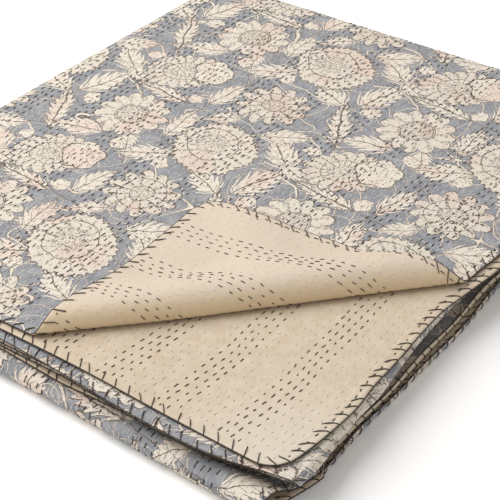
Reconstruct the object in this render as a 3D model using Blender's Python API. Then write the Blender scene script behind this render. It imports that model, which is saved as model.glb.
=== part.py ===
"""A kantha quilt, folded small: two cloths, a printed face and a plain back, quilted into one sheet.

The sheet is folded in half along its length, in thirds across its width, then in half again along
its length. That makes a pile of twelve plies. The near corner of the top ply is turned back over a
diagonal, so that the plain back shows.

In the pile, X runs across the width and Y along the length. The front (-Y) shows six free edges over
one fat roll, the right side (+X) shows free edges and rolls. The turned corner is the front right one.
Plies are counted from the top.
"""

import math

import bmesh
import bpy
import numpy as np

MM = 0.001

# The cloths
CLOTH_THICKNESS = 1.0 * MM
BETWEEN_CLOTHS = 0.3 * MM
PLY_THICKNESS = 2 * CLOTH_THICKNESS + BETWEEN_CLOTHS
PLY_PITCH = 3.1 * MM  # one ply and the air over it
PLIES = 12
CORNER_RADIUS = 22 * MM  # of the quilt's own four corners

# The pile: distances from the right side (X) and from the front (Y) to where each fold starts
FOLD_LEFT = 504 * MM
FOLD_RIGHT = 3 * MM
FOLD_BACK = 562 * MM
LAST_THIRD = 500 * MM
WIDTH_FOLD_CLOTH = 14 * MM  # cloth that a fold across the width takes up
BACK_FOLD_CLOTH = 44 * MM
FOLD_SQUASH = 0.88  # how far a fold bulges: this share of its radius and a little more
FOLD_BULGE = 0.5 * MM
SIDE_RIGHT = 0.24817  # X of the pile's right side
SIDE_FRONT = -0.2790  # Y of the pile's front

# The fat roll at the front: the lowest pair of plies, with the folds over it lying further in
ROLL_CLOTH = 138 * MM
ROLL_CENTRE = -7 * MM  # from the front, the fold's nose lies in front of it
ROLL_NOSE = 12 * MM
ROLL_END = 22 * MM
ROLL_START = 44 * MM
FLAT_FOLD_START = 70 * MM
ROLL_FULL, ROLL_GONE = 290 * MM, 425 * MM  # distances from the right side
INNER_FOLDS_LIE_IN = 40 * MM
INNER_FOLDS_FULL, INNER_FOLDS_GONE = 455 * MM, 500 * MM
ROLL_CUTS = (0, 0.2, 0.37, 0.42, 0.46, 0.5, 0.55, 0.6, 0.67, 0.75, 0.84, 1)  # shares of its cloth

# How far each free edge and roll of the right side lies out of flush, in mm outwards
RIGHT_COLUMNS = ("from_front", "first", "second", "upper_roll", "lower_roll", "eleventh", "last")
RIGHT_EDGES = (
    (0, -7, 0, 10, -3, -3, -2),
    (20, -7, 1, 11, -4, 0, 3),
    (45, -7, 4, 7, -5, 1, 5),
    (85, -7, 6, 3, -7, -3, 1),
    (110, -7, 2, -1, -8, -4, 0),
    (145, -7, 0, -4, -8, -4, 0),
    (180, -7, -3, -5, -7, -4, 0),
    (215, -8, -4, -5, -6, -3, 1),
    (260, -9, 0, -4, -8, -6, -3),
    (300, -6, 4, -3, -10, -9, -7),
    (360, -5, 2, -2, -7, -6, -4),
    (540, 0, 0, 0, 0, 0, 0),
)

# The same for the front: the second edge is the flush one
FRONT_COLUMNS = ("from_right", "first", "third", "fourth", "sixth", "roll")
FRONT_EDGES = (
    (0, -5, -3, -4, -2, 0),
    (12, -5, -2, -3, 0, 0),
    (25, -5, 2, 1, 4, 0),
    (40, -5, 6, 5, 5, 0),
    (68, -5, 11, 10, 10, 0),
    (105, -5, 12, 10, 11, -1),
    (145, -5, 12, 9, 11, -3),
    (205, -5, 9, 4, 10, -5),
    (260, -5, 6, 8, 5, -5),
    (340, -4, 5, 6, 4, -4),
    (500, 0, 0, 0, 0, 0),
)

# The gap over the fourth ply at the front
GAP_HEIGHT = 2.5 * MM
GAP_FROM_RIGHT, GAP_REACH = 190 * MM, 70 * MM
GAP_DEPTH = 90 * MM

# The turned corner: where its front line starts and ends, as (X, Y) in plan from the right front corner
TURN_LEFT = (-240 * MM, 5 * MM)
TURN_RIGHT = (-7 * MM, 261 * MM)
TURN_FRONT_RADIUS = 5 * MM
TURN_COLUMNS = ("share", "rear_radius")  # share of the front line, rear radius in mm
TURN_RADII = ((0, 10), (0.15, 11), (0.35, 14), (0.6, 14.5), (0.8, 14.5), (0.92, 12.5), (1, 8))
TURN_LANDING = 52 * MM  # how far behind its roll the turned cloth comes to rest
TIP_RISE, TIP_FROM, TIP_TO = 3.5 * MM, 110 * MM, 175 * MM
RIPPLE_HEIGHT, RIPPLE_LENGTH, RIPPLE_PHASE = 3 * MM, 138 * MM, -0.8
TURN_CUTS = (0, 2.6, 5.2, 8, 12.5, 17, 22, 28, 36, 48, 62, 80)  # mm past the line

# Gentle unevenness of the pile
WAVE_HEIGHT = 0.018  # share of the height
WAVE_LENGTHS = (0.43, 0.37)

# Where the mesh is cut over each ply, as distances from the right side and from the front in mm
CUTS_FROM_RIGHT = (0, 11, 22, 45, 80, 135, 200, 290, 400)
INNER_CUTS_FROM_RIGHT = (22, 45, 80, 135, 200, 290, 400)
CUTS_FROM_FRONT = (0, 11, 22, 45, 85, 120, 180, 240, 300, 420)
LOWER_CUTS_FROM_FRONT = (85, 120, 180, 240, 300, 420)

# Where the sheet's parts start and end, across its width (u) and along its length (v)
U_LEFT = FOLD_LEFT
U_SECOND = U_LEFT + WIDTH_FOLD_CLOTH
U_RIGHT = U_SECOND + FOLD_LEFT - FOLD_RIGHT
U_THIRD = U_RIGHT + WIDTH_FOLD_CLOTH
U_END = U_THIRD + LAST_THIRD
V_BACK = FOLD_BACK - 5 * MM
V_LOWER = V_BACK + BACK_FOLD_CLOTH
V_ROLL = V_LOWER + FOLD_BACK - ROLL_START
V_ROLL_END = V_ROLL + ROLL_CLOTH
V_BACK_AGAIN = V_ROLL_END + FOLD_BACK - ROLL_START
V_UPPER = V_BACK_AGAIN + BACK_FOLD_CLOTH
V_END = V_UPPER + FOLD_BACK


def smooth(value, start, end):
    share = np.clip((value - start) / (end - start), 0, 1)
    return share * share * (3 - 2 * share)


def read(table, columns, name, place, unit=MM):
    """The table's column of this name, at a place in its first column."""
    rows = np.array(table)
    scale = np.array(place) if columns[0] == "share" else np.array(place) / MM
    return unit * np.interp(scale, rows[:, 0], rows[:, columns.index(name)])


def fold_over(along, height, line, cloth, stack):
    """Turn what lies past the line up and over the pile, whose height there is stack."""
    past = along - line
    turn = np.pi * np.clip(past / cloth, 0, 1)
    radius = stack - height
    bulge = FOLD_BULGE + FOLD_SQUASH * radius
    turned = np.where(past > cloth, line - (past - cloth), line + bulge * np.sin(turn))
    return np.where(past > 0, turned, along), np.where(past > 0, stack - radius * np.cos(turn), height)


def along_polyline(points, share):
    points = np.array(points)
    lengths = np.concatenate([[0], np.cumsum(np.hypot(*np.diff(points, axis=0).T))])
    return [np.interp(share * lengths[-1], lengths, points[:, axis]) for axis in (0, 1)]


def half_turn(centre, depth, low, high, steps=24):
    """A fold's nose, from its lower ply round to its upper ply."""
    middle, rise = (low + high) / 2, (high - low) / 2
    turns = [-math.pi / 2 + math.pi * step / steps for step in range(steps + 1)]
    return [(centre - depth * math.cos(turn), middle + rise * math.sin(turn)) for turn in turns]


def front_fold(share, fatness):
    """Distance from the front and height along the front fold, from its lower to its upper ply."""
    low, flat, fat = PLY_PITCH / 2, 1.5 * PLY_PITCH, 5.5 * PLY_PITCH
    slope = [
        (ROLL_CENTRE + (ROLL_END - ROLL_CENTRE) * part, fat + (flat - fat) * float(smooth(part, 0, 1)))
        for part in np.linspace(0, 1, 24)
    ]
    roll = [(ROLL_START, low), *half_turn(ROLL_CENTRE, ROLL_NOSE, low, fat), *slope, (ROLL_START, flat)]
    thin = [(FLAT_FOLD_START, low), *half_turn(0.0, low, low, flat), (FLAT_FOLD_START, flat)]
    rolled, thinned = along_polyline(roll, share), along_polyline(thin, share)
    return [a * fatness + b * (1 - fatness) for a, b in zip(rolled, thinned)]


def doubled(u, v):
    """The sheet folded in half along its length: how far past the back fold's line, and the height."""
    fatness = np.where(u < U_LEFT, 1 - smooth(u, ROLL_FULL, ROLL_GONE), 0)
    start = ROLL_START * fatness + FLAT_FOLD_START * (1 - fatness)
    ends = (0, V_BACK, V_LOWER, V_ROLL, V_ROLL_END, V_BACK_AGAIN, V_UPPER, V_END)
    top = BACK_FOLD_CLOTH + FOLD_BACK
    past = np.interp(v, ends, (top, BACK_FOLD_CLOTH, 0, -1, -1, 0, BACK_FOLD_CLOTH, top))
    past = np.where(past < 0, past * (FOLD_BACK - start), past)
    height = np.where(v < (V_ROLL + V_ROLL_END) / 2, PLY_PITCH / 2, 1.5 * PLY_PITCH)
    front, rise = front_fold(np.clip((v - V_ROLL) / ROLL_CLOTH, 0, 1), fatness)
    in_fold = (v > V_ROLL) & (v < V_ROLL_END)
    return np.where(in_fold, front - FOLD_BACK, past), np.where(in_fold, rise, height)


def between_quarters(v, top, upper, lower, back_top):
    """A value for each quarter of the length, from the top ply's on, eased over the folds between."""
    ends = (V_BACK, V_LOWER, V_ROLL, V_ROLL_END, V_BACK_AGAIN, V_UPPER)
    shares = [
        np.interp(v, ends, row)
        for row in ((1, 0, 0, 0, 0, 0), (0, 1, 1, 0, 0, 0), (0, 0, 0, 1, 1, 0), (0, 0, 0, 0, 0, 1))
    ]
    return sum(share * value for share, value in zip(shares, (top, upper, lower, back_top)))


def edge_moves(u, v, left, front):
    """How far the edge or fold that this point belongs to moves it outwards, as (right, front)."""
    side = {name: read(RIGHT_EDGES, RIGHT_COLUMNS, name, front) for name in RIGHT_COLUMNS[1:]}
    face = {name: read(FRONT_EDGES, FRONT_COLUMNS, name, left) for name in FRONT_COLUMNS[1:]}
    free_right = between_quarters(v, side["first"], side["last"], side["eleventh"], side["second"])
    roll_right = between_quarters(
        v, side["upper_roll"], side["lower_roll"], side["lower_roll"], side["upper_roll"]
    )
    folds_in = -INNER_FOLDS_LIE_IN * (1 - smooth(left, INNER_FOLDS_FULL, INNER_FOLDS_GONE))
    outer_front = between_quarters(v, face["first"], face["roll"], 0, 0)
    back_edge = face["third"] + (face["sixth"] - face["third"]) * smooth(u, U_RIGHT, U_THIRD)
    inner_front = between_quarters(v, face["fourth"], folds_in, folds_in, back_edge)
    turning = smooth(u, U_LEFT, U_SECOND)
    right = np.where(u < U_SECOND, free_right, roll_right) * (1 - np.clip(left / FOLD_LEFT, 0, 1))
    return right, (outer_front + (inner_front - outer_front) * turning) * (
        1 - np.clip(front / FOLD_BACK, 0, 1)
    )


def turn_corner(x, y, z):
    """Roll what lies past the front line back over the top ply."""
    line = np.array(TURN_RIGHT) - np.array(TURN_LEFT)
    length = np.hypot(*line)
    line = line / length
    across = (line[1], -line[0])
    out = (x - TURN_LEFT[0]) * across[0] + (y - TURN_LEFT[1]) * across[1]
    share = ((x - TURN_LEFT[0]) * line[0] + (y - TURN_LEFT[1]) * line[1]) / length
    fore, rear = TURN_FRONT_RADIUS, read(TURN_RADII, TURN_COLUMNS, "rear_radius", share)
    quarter = np.pi / 2
    first = np.clip(out / fore, 0, quarter)
    second = np.clip((out - quarter * fore) / rear, 0, quarter)
    back = np.maximum(out - quarter * (fore + rear), 0)
    new_out = fore * np.sin(first) - rear * (1 - np.cos(second)) - back
    lift = fore * (1 - np.cos(first)) + rear * np.sin(second)
    lift = lift - (fore + rear - PLY_PITCH) * smooth(back, 0, TURN_LANDING)
    ripple = np.sin(2 * np.pi * share * length / RIPPLE_LENGTH + RIPPLE_PHASE)
    lift = lift + RIPPLE_HEIGHT * ripple * smooth(back, 0, TURN_LANDING)
    lift = lift + TIP_RISE * smooth(back, TIP_FROM, TIP_TO)
    lift = np.where(back > 0, np.maximum(lift, PLY_PITCH), lift)
    move = np.where(out > 0, new_out - out, 0)
    return x + move * across[0], y + move * across[1], z + np.where(out > 0, lift, 0)


def quilt_point(u, v):
    """The place in the pile of a point of the flat sheet, halfway through its thickness."""
    past, z = doubled(u, v)
    left, z = fold_over(u, z, U_LEFT, WIDTH_FOLD_CLOTH, 2 * PLY_PITCH)
    right, over = fold_over(-left, z, -FOLD_RIGHT, WIDTH_FOLD_CLOTH, 4 * PLY_PITCH)
    left, z = np.where(u > U_RIGHT, -right, left), np.where(u > U_RIGHT, over, z)
    past, z = fold_over(past, z, 0, BACK_FOLD_CLOTH, PLIES / 2 * PLY_PITCH)
    front = FOLD_BACK + past
    right_out, front_out = edge_moves(u, v, left, front)
    x, y = right_out - left, front - front_out
    above = z - PLY_PITCH / 2
    wave = np.sin(2 * np.pi * x / WAVE_LENGTHS[0] + 1) * np.sin(2 * np.pi * y / WAVE_LENGTHS[1])
    gap = np.exp(-(((left - GAP_FROM_RIGHT) / GAP_REACH) ** 2)) * (1 - smooth(front, 0, GAP_DEPTH))
    lifted = (u < U_SECOND) & ((v < V_BACK) | (v > V_UPPER)) | (u < U_RIGHT) & (v > V_UPPER)
    z = PLY_THICKNESS / 2 + above * (1 + WAVE_HEIGHT * wave) + np.where(lifted, GAP_HEIGHT * gap, 0)
    turned = turn_corner(x, y, z)
    on_top = (u < U_LEFT) & (v < V_BACK)
    return np.stack([np.where(on_top, new, old) for new, old in zip(turned, (x, y, z))], axis=-1)


def quilt_surface(u, v, offset):
    """quilt_point moved by offset towards the printed side."""
    step = 1e-5
    across = quilt_point(u + step, v) - quilt_point(u - step, v)
    along = quilt_point(u, v + step) - quilt_point(u, v - step)
    normal = np.cross(along, across)
    normal /= np.linalg.norm(normal, axis=-1, keepdims=True)
    place = quilt_point(u, v) + offset * normal
    return place + np.array((SIDE_RIGHT, SIDE_FRONT, 0))


def round_corners(u, v):
    """Draw the grid's four square corners in to the quilt's rounded ones."""
    across = np.maximum(CORNER_RADIUS - np.minimum(u, U_END - u), 0) / CORNER_RADIUS
    along = np.maximum(CORNER_RADIUS - np.minimum(v, V_END - v), 0) / CORNER_RADIUS
    length = np.hypot(across, along)
    drawn = np.where((across > 0) & (along > 0), np.maximum(across, along) / np.maximum(length, 1e-9), 1)
    side_u, side_v = np.where(u < U_END / 2, 1, -1), np.where(v < V_END / 2, 1, -1)
    return (
        u + side_u * across * (1 - drawn) * CORNER_RADIUS,
        v + side_v * along * (1 - drawn) * CORNER_RADIUS,
    )


def grid_lines():
    """Where the flat sheet's grid has its columns and rows, the same over all plies that face."""
    cuts = np.array(CUTS_FROM_RIGHT) * MM
    folded = np.array(INNER_CUTS_FROM_RIGHT) * MM - FOLD_RIGHT
    corner = U_END - CORNER_RADIUS * np.array((1, 0.5, 0))
    fold = WIDTH_FOLD_CLOTH * np.linspace(0, 1, 5)
    columns = [cuts, U_LEFT + fold, U_RIGHT - folded[::-1], U_RIGHT + fold, U_THIRD + folded, corner]
    rows_above = np.array(CUTS_FROM_FRONT) * MM
    back_fold = BACK_FOLD_CLOTH * np.linspace(0, 1, 6)
    inner = np.array(LOWER_CUTS_FROM_FRONT) * MM - ROLL_START
    roll = V_ROLL + ROLL_CLOTH * np.array(ROLL_CUTS)
    lower, upper = V_ROLL - inner[::-1], V_ROLL_END + inner
    rows = [rows_above, V_BACK + back_fold, lower, roll, upper, V_BACK_AGAIN + back_fold]
    return np.concatenate(columns), np.concatenate([*rows, V_END - rows_above[::-1]])


def flat_sheet():
    """The flat sheet's outline and grid, finer where it folds, as a bmesh in u and v."""
    u, v = round_corners(*np.meshgrid(*grid_lines()))
    sheet = bmesh.new()
    grid = [[sheet.verts.new((a, b, 0)) for a, b in zip(*row)] for row in zip(u, v)]
    for low, high in zip(grid, grid[1:]):
        for corners in zip(low, low[1:], high[1:], high):
            sheet.faces.new(corners)
    cut_for_the_turn(sheet)
    bmesh.ops.triangulate(sheet, faces=sheet.faces[:])
    sheet.verts.index_update()
    return sheet


def cut_for_the_turn(sheet):
    """Cut the top ply's grid along lines parallel to the turned corner's front line."""
    line = np.array(TURN_RIGHT) - np.array(TURN_LEFT)
    across = np.array((line[1], -line[0])) / np.hypot(*line)
    right, front = RIGHT_EDGES[0][1] * MM, FRONT_EDGES[0][1] * MM
    for past in TURN_CUTS:
        faces = [
            face for face in sheet.faces
            if face.calc_center_median().x < U_LEFT and face.calc_center_median().y < V_BACK
        ]
        geometry = faces + list({e for f in faces for e in f.edges} | {p for f in faces for p in f.verts})
        place = np.array(TURN_LEFT) + across * past * MM
        # In plan u runs to the left from the top ply's right edge, and v from its front edge.
        point = (right - place[0], place[1] + front, 0)
        bmesh.ops.bisect_plane(
            sheet, geom=geometry, dist=1e-5, plane_co=point, plane_no=(-across[0], across[1], 0)
        )


def add_cloth(name, sheet, inner, outer, colour):
    """One cloth of the quilt: the sheet between two offsets from its middle."""
    flat = np.array([vert.co for vert in sheet.verts])
    cloth = bmesh.new()
    sides = [
        [cloth.verts.new(place) for place in quilt_surface(flat[:, 0], flat[:, 1], offset)]
        for offset in (inner, outer)
    ]
    for face in sheet.faces:
        corners = [vert.index for vert in face.verts]
        cloth.faces.new([sides[0][corner] for corner in corners])
        cloth.faces.new([sides[1][corner] for corner in reversed(corners)])
    for edge in sheet.edges:
        if edge.is_boundary:
            start, end = (vert.index for vert in edge.verts)
            cloth.faces.new((sides[0][start], sides[1][start], sides[1][end], sides[0][end]))
    bmesh.ops.recalc_face_normals(cloth, faces=cloth.faces[:])
    bmesh.ops.triangulate(cloth, faces=[face for face in cloth.faces if len(face.verts) > 3])
    mesh = bpy.data.meshes.new(name)
    cloth.to_mesh(mesh)
    cloth.free()
    mesh.shade_smooth()
    mesh.set_sharp_from_angle(angle=math.radians(50))
    mesh.materials.append(cotton(name, colour))
    bpy.context.scene.collection.objects.link(bpy.data.objects.new(name, mesh))


def cotton(name, colour):
    material = bpy.data.materials.new(name)
    material.use_nodes = True
    shader = material.node_tree.nodes["Principled BSDF"]
    shader.inputs["Base Color"].default_value = (*colour, 1)
    shader.inputs["Roughness"].default_value = 0.9
    shader.inputs["Metallic"].default_value = 0
    return material


for leftover in list(bpy.data.objects):
    bpy.data.objects.remove(leftover)

flat = flat_sheet()
half_gap = BETWEEN_CLOTHS / 2
add_cloth("printed_face", flat, half_gap, half_gap + CLOTH_THICKNESS, (0.35, 0.37, 0.40))
add_cloth("plain_back", flat, -half_gap - CLOTH_THICKNESS, -half_gap, (0.72, 0.62, 0.46))
flat.free()
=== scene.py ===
# A folded kantha quilt: a printed cloth and a plain one, held together by rows of running stitch.
# The flat quilt is laid out in u (across its width) and v (along its length), then folded into the pile.
import math

import bmesh
import bpy
import numpy as np
from mathutils import Matrix, Vector


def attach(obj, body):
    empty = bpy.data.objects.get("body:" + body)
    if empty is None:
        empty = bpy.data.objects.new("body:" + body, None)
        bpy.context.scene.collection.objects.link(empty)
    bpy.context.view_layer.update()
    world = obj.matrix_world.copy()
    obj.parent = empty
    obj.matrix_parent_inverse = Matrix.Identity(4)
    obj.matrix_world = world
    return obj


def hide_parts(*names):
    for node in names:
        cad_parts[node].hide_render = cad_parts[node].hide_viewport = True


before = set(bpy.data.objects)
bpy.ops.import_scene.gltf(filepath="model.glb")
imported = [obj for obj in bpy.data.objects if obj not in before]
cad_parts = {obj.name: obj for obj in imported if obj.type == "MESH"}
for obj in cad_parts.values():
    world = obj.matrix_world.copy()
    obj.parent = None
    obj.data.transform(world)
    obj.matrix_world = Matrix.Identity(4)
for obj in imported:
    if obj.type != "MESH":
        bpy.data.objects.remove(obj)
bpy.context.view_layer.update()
print("frame loaded")

mm = 0.001

# The pile: how the sheet is folded, in metres from its right side (X) and its front (Y)
pile = {
    "pitch": 3.1 * mm,  # one ply and the air over it
    "plies": 12,
    "plyThickness": 2.3 * mm,
    "cornerRadius": 22 * mm,
    "foldLeft": 504 * mm,
    "foldRight": 3 * mm,
    "foldBack": 562 * mm,
    "lastThird": 500 * mm,
    "widthFold": 14 * mm,  # cloth taken up by a fold across the width
    "backFold": 44 * mm,
    "backEarly": 5 * mm,  # how far before its line the fold at the back starts
    "squash": 0.88,
    "bulge": 0.5 * mm,
    "sideRight": 0.24817,
    "sideFront": -0.2790,
    "waveHeight": 0.018,
    "waveLengths": (0.43, 0.37),
    "gapHeight": 2.5 * mm,  # the gap over the fourth ply at the front
    "gapPlace": 190 * mm,
    "gapReach": 70 * mm,
    "gapDepth": 90 * mm,
}

# The fat roll at the front and the flat folds over it
roll = {
    "cloth": 138 * mm,
    "centre": -7 * mm,
    "nose": 12 * mm,
    "end": 22 * mm,
    "start": 44 * mm,
    "flatStart": 70 * mm,
    "full": 290 * mm,
    "gone": 425 * mm,
    "foldsIn": 40 * mm,
    "foldsFull": 455 * mm,
    "foldsGone": 500 * mm,
    "steps": 24,
}

# The turned corner of the top ply
turned = {
    "left": (-240 * mm, 5 * mm),
    "right": (-7 * mm, 261 * mm),
    "foreRadius": 5 * mm,
    "shares": (0, 0.15, 0.35, 0.6, 0.8, 0.92, 1),
    "rearRadii": (10, 11, 14, 14.5, 14.5, 12.5, 8),  # mm, at those shares of its front line
    "landing": 52 * mm,
    "tipRise": 3.5 * mm,
    "tipFrom": 110 * mm,
    "tipTo": 175 * mm,
    "rippleHeight": 3 * mm,
    "rippleLength": 138 * mm,
    "ripplePhase": -0.8,
    "cuts": (0, 1.3, 2.6, 3.9, 5.2, 6.5, 7.9, 11, 14, 17, 20, 23, 26, 29, 32),  # mm past the line
}

# How far each edge lies out of flush, in mm outwards, at these distances in mm
rightEdges = {
    "place": (0, 20, 45, 85, 110, 145, 180, 215, 260, 300, 360, 540),
    "first": (-7, -7, -7, -7, -7, -7, -7, -8, -9, -6, -5, 0),
    "second": (0, 1, 4, 5.5, 1, -0.5, -4, -6, -1, 4, 2, 0),
    "upperRoll": (10, 11, 7, 3, 3, -3, -8, -11, -13, -13, -8, 0),
    "lowerRoll": (-3, -5, -9, -13, -14, -14, -16, -18, -18, -18, -12, 0),
    "eleventh": (-3, 0, 5, 4, 2.8, 2.2, 1, -1.2, -3.2, -5, -5, 0),
    "last": (-2, 4, 8, 5, 4, 3.7, 3.4, 3.4, 0.5, -3, -3, 0),
    "ease": 9,  # mm that a bend in these lines is rounded over
}
frontEdges = {
    "place": (0, 12, 25, 40, 68, 105, 145, 205, 260, 340, 500),
    "first": (-5, -5, -5, -5, -5, -5, -5, -5, -5, -4, 0),
    "third": (-3, -2, 2, 6, 11, 12, 12, 9, 6, 5, 0),
    "fourth": (-6, -5, -2, 1, 7, 8.5, 7.5, 4, 6, 6, 0),
    "sixth": (-9, -8, -7, -5, -1, 3, 5, 8.5, 6, 4, 0),
    "roll": (0, 0, 0, 0, 0, -1, -3, -5, -5, -4, 0),
    "ease": 6,
}

# The two bottom plies curl up along the right side like an open mouth, so that their plain sides show
curl = {
    "eleventh": {"reach": 7.8 * mm, "radius": 3 * mm, "angle": 1.8},
    "last": {"reach": 5.4 * mm, "radius": 2.4 * mm, "angle": 1.9},
    "from": (12 * mm, 40 * mm),  # from the front
    "to": (340 * mm, 430 * mm),
    "waver": 0.08,
    "waverLength": 103 * mm,
}

# Where the sheet's parts start and end
uLeft = pile["foldLeft"]
uSecond = uLeft + pile["widthFold"]
uRight = uSecond + pile["foldLeft"] - pile["foldRight"]
uThird = uRight + pile["widthFold"]
uEnd = uThird + pile["lastThird"]
vBack = pile["foldBack"] - pile["backEarly"]
vLower = vBack + pile["backFold"]
vRoll = vLower + pile["foldBack"] - roll["start"]
vRollEnd = vRoll + roll["cloth"]
vBackAgain = vRollEnd + pile["foldBack"] - roll["start"]
vUpper = vBackAgain + pile["backFold"]
vEnd = vUpper + pile["foldBack"]


def smooth(value, start, end):
    share = np.clip((value - start) / (end - start), 0, 1)
    return share * share * (3 - 2 * share)


def edgeLines(edges, place):
    # how far out each edge lies there, with the bends of its line rounded
    places = [place / mm + edges["ease"] * shift for shift in (-1, -0.5, 0, 0.5, 1)]
    lines = {}
    for name in edges:
        if name not in ("place", "ease"):
            lines[name] = mm * sum(np.interp(near, edges["place"], edges[name]) for near in places) / len(places)
    return lines


def foldOver(along, height, line, taken, stack):
    # what lies past the line folds back over the rest; the fold takes up this much cloth
    past = along - line
    turn = np.pi * np.clip(past / taken, 0, 1)
    radius = stack - height
    bulge = pile["bulge"] + pile["squash"] * radius
    over = np.where(past > taken, line - (past - taken), line + bulge * np.sin(turn))
    return np.where(past > 0, over, along), np.where(past > 0, stack - radius * np.cos(turn), height)


def alongLine(points, share):
    points = np.array(points)
    lengths = np.concatenate([[0], np.cumsum(np.hypot(*np.diff(points, axis=0).T))])
    return [np.interp(share * lengths[-1], lengths, points[:, axis]) for axis in (0, 1)]


def halfTurn(centre, depth, low, high):
    middle, rise = (low + high) / 2, (high - low) / 2
    turns = [-math.pi / 2 + math.pi * step / roll["steps"] for step in range(roll["steps"] + 1)]
    return [(centre - depth * math.cos(turn), middle + rise * math.sin(turn)) for turn in turns]


def frontFold(share, fatness):
    low, flat, fat = pile["pitch"] / 2, 1.5 * pile["pitch"], 5.5 * pile["pitch"]
    slope = [
        (roll["centre"] + (roll["end"] - roll["centre"]) * part, fat + (flat - fat) * float(smooth(part, 0, 1)))
        for part in np.linspace(0, 1, roll["steps"])
    ]
    nose = halfTurn(roll["centre"], roll["nose"], low, fat)
    fatLine = [(roll["start"], low), *nose, *slope, (roll["start"], flat)]
    thinLine = [(roll["flatStart"], low), *halfTurn(0.0, low, low, flat), (roll["flatStart"], flat)]
    pairs = zip(alongLine(fatLine, share), alongLine(thinLine, share))
    return [a * fatness + b * (1 - fatness) for a, b in pairs]


def doubled(u, v):
    # folded in half along the length
    fatness = np.where(u < uLeft, 1 - smooth(u, roll["full"], roll["gone"]), 0)
    start = roll["start"] * fatness + roll["flatStart"] * (1 - fatness)
    ends = (0, vBack, vLower, vRoll, vRollEnd, vBackAgain, vUpper, vEnd)
    top = pile["backFold"] + pile["foldBack"]
    past = np.interp(v, ends, (top, pile["backFold"], 0, -1, -1, 0, pile["backFold"], top))
    past = np.where(past < 0, past * (pile["foldBack"] - start), past)
    height = np.where(v < (vRoll + vRollEnd) / 2, pile["pitch"] / 2, 1.5 * pile["pitch"])
    front, rise = frontFold(np.clip((v - vRoll) / roll["cloth"], 0, 1), fatness)
    inFold = (v > vRoll) & (v < vRollEnd)
    return np.where(inFold, front - pile["foldBack"], past), np.where(inFold, rise, height)


def betweenQuarters(v, top, upper, lower, backTop):
    ends = (vBack, vLower, vRoll, vRollEnd, vBackAgain, vUpper)
    shares = ((1, 0, 0, 0, 0, 0), (0, 1, 1, 0, 0, 0), (0, 0, 0, 1, 1, 0), (0, 0, 0, 0, 0, 1))
    return sum(np.interp(v, ends, share) * value for share, value in zip(shares, (top, upper, lower, backTop)))


def edgeMoves(u, v, left, front):
    side, face = edgeLines(rightEdges, front), edgeLines(frontEdges, left)
    freeRight = betweenQuarters(v, side["first"], side["last"], side["eleventh"], side["second"])
    rollRight = betweenQuarters(v, side["upperRoll"], side["lowerRoll"], side["lowerRoll"], side["upperRoll"])
    foldsIn = -roll["foldsIn"] * (1 - smooth(left, roll["foldsFull"], roll["foldsGone"]))
    outerFront = betweenQuarters(v, face["first"], face["roll"], 0, 0)
    backEdge = face["third"] + (face["sixth"] - face["third"]) * smooth(u, uRight, uThird)
    innerFront = betweenQuarters(v, face["fourth"], foldsIn, foldsIn, backEdge)
    turning = smooth(u, uLeft, uSecond)
    right = np.where(u < uSecond, freeRight, rollRight) * (1 - np.clip(left / pile["foldLeft"], 0, 1))
    out = outerFront + (innerFront - outerFront) * turning
    return right, out * (1 - np.clip(front / pile["foldBack"], 0, 1))


def turnCorner(x, y, z):
    # what lies past the front line rolls back over the top ply
    line = np.array(turned["right"]) - np.array(turned["left"])
    length = np.hypot(*line)
    line = line / length
    across = (line[1], -line[0])
    out = (x - turned["left"][0]) * across[0] + (y - turned["left"][1]) * across[1]
    share = ((x - turned["left"][0]) * line[0] + (y - turned["left"][1]) * line[1]) / length
    fore, rear = turned["foreRadius"], mm * np.interp(share, turned["shares"], turned["rearRadii"])
    quarter = np.pi / 2
    first = np.clip(out / fore, 0, quarter)
    second = np.clip((out - quarter * fore) / rear, 0, quarter)
    back = np.maximum(out - quarter * (fore + rear), 0)
    newOut = fore * np.sin(first) - rear * (1 - np.cos(second)) - back
    lift = fore * (1 - np.cos(first)) + rear * np.sin(second)
    landed = smooth(back, 0, turned["landing"])
    ripple = np.sin(2 * np.pi * share * length / turned["rippleLength"] + turned["ripplePhase"])
    lift = lift - (fore + rear - pile["pitch"]) * landed + turned["rippleHeight"] * ripple * landed
    lift = lift + turned["tipRise"] * smooth(back, turned["tipFrom"], turned["tipTo"])
    lift = np.where(back > 0, np.maximum(lift, pile["pitch"]), lift)
    move = np.where(out > 0, newOut - out, 0)
    return x + move * across[0], y + move * across[1], z + np.where(out > 0, lift, 0)


def curlEdge(u, front, reach, radius, angle):
    # how far the curled edge draws in, and how far up
    amount = smooth(front, *curl["from"]) * (1 - smooth(front, *curl["to"]))
    waver = np.sin(2 * np.pi * front / curl["waverLength"] + radius / mm)
    amount = amount * (1 - curl["waver"] + curl["waver"] * waver)
    past = np.maximum(reach - u, 0) * amount
    turn = np.minimum(past / radius, angle)
    rest = past - radius * turn
    return past - radius * np.sin(turn) - rest * np.cos(turn), radius * (1 - np.cos(turn)) + rest * np.sin(turn)


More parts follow.
